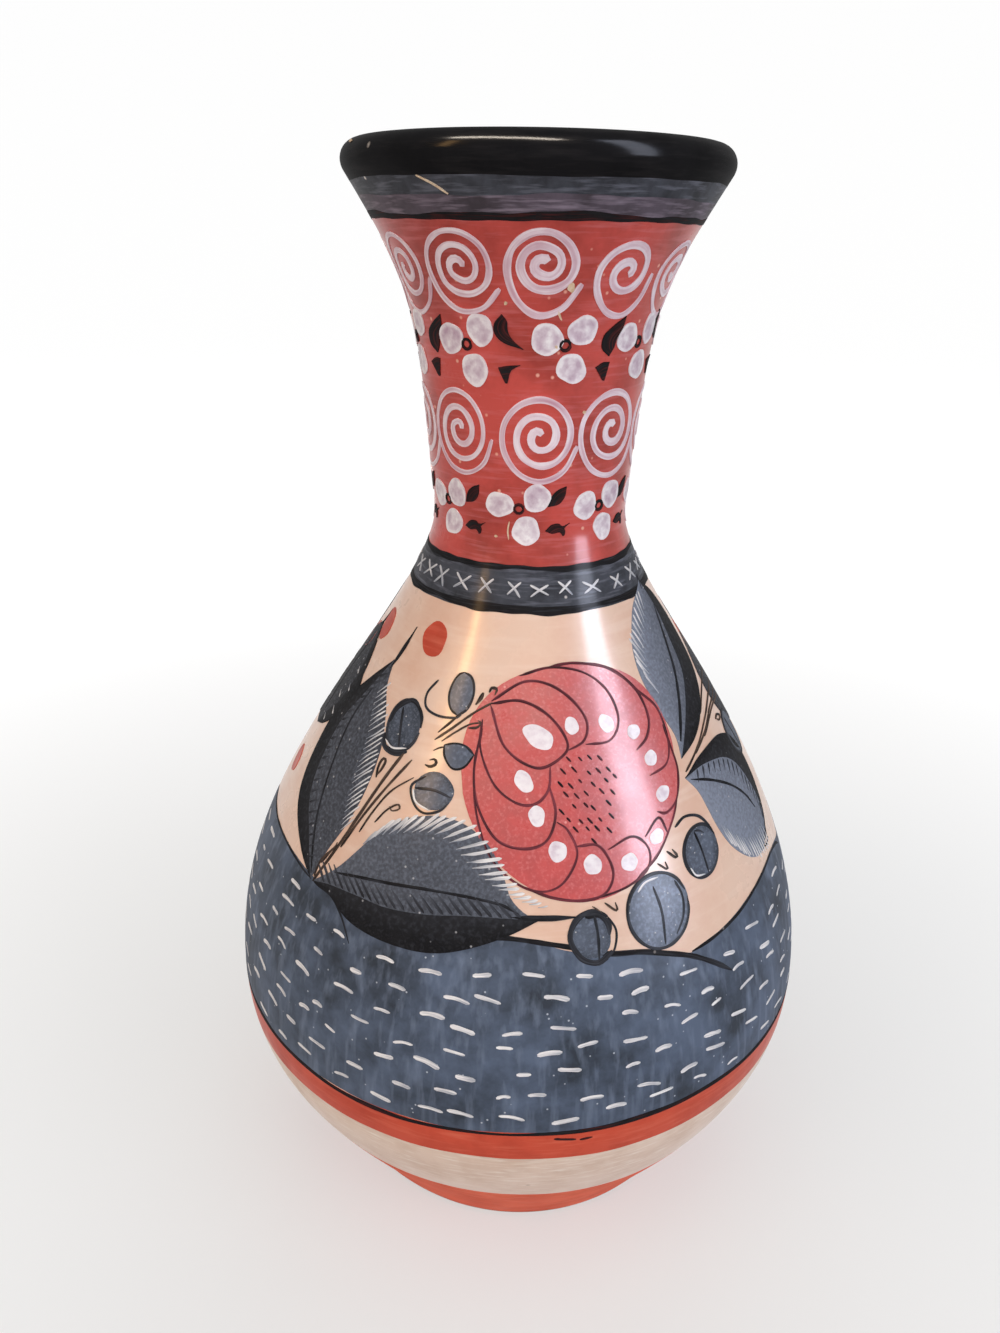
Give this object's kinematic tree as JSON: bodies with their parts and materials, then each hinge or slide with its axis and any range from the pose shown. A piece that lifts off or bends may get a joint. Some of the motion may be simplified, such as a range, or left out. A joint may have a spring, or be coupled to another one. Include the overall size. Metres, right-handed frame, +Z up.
{
  "type": "pottery vase",
  "caption": "Hand-built earthenware vase with a wide low belly, narrow waist, flared neck and rolled lip, painted with slip; stands on a flat base and holds flowers or dry stems.",
  "frame": {"origin": "middle of the underside, on the table", "axes": "+Z up through the mouth, the painted flower faces -Y"},
  "size_m": [0.1792, 0.1792, 0.2999],
  "materials": {
    "red_slip_foot": "burnished red slip",
    "raw_clay": "bare fired clay",
    "slip_bowl": "burnished blue-grey slip over cream",
    "peach_slip": "burnished cream slip with painted flowers",
    "red_slip_neck": "burnished red slip with painted scrolls",
    "black_slip": "glossy black slip"
  },
  "bodies": {
    "root": {"base_slab": "red_slip_foot", "base_corner_coil": "raw_clay", "lower_bowl": "slip_bowl", "belly_seam_coil": "raw_clay", "shoulder_bowl": "peach_slip", "neck": "red_slip_neck", "neck_seam_coil": "raw_clay", "lip_roll": "black_slip"}
  },
  "joints": []
}
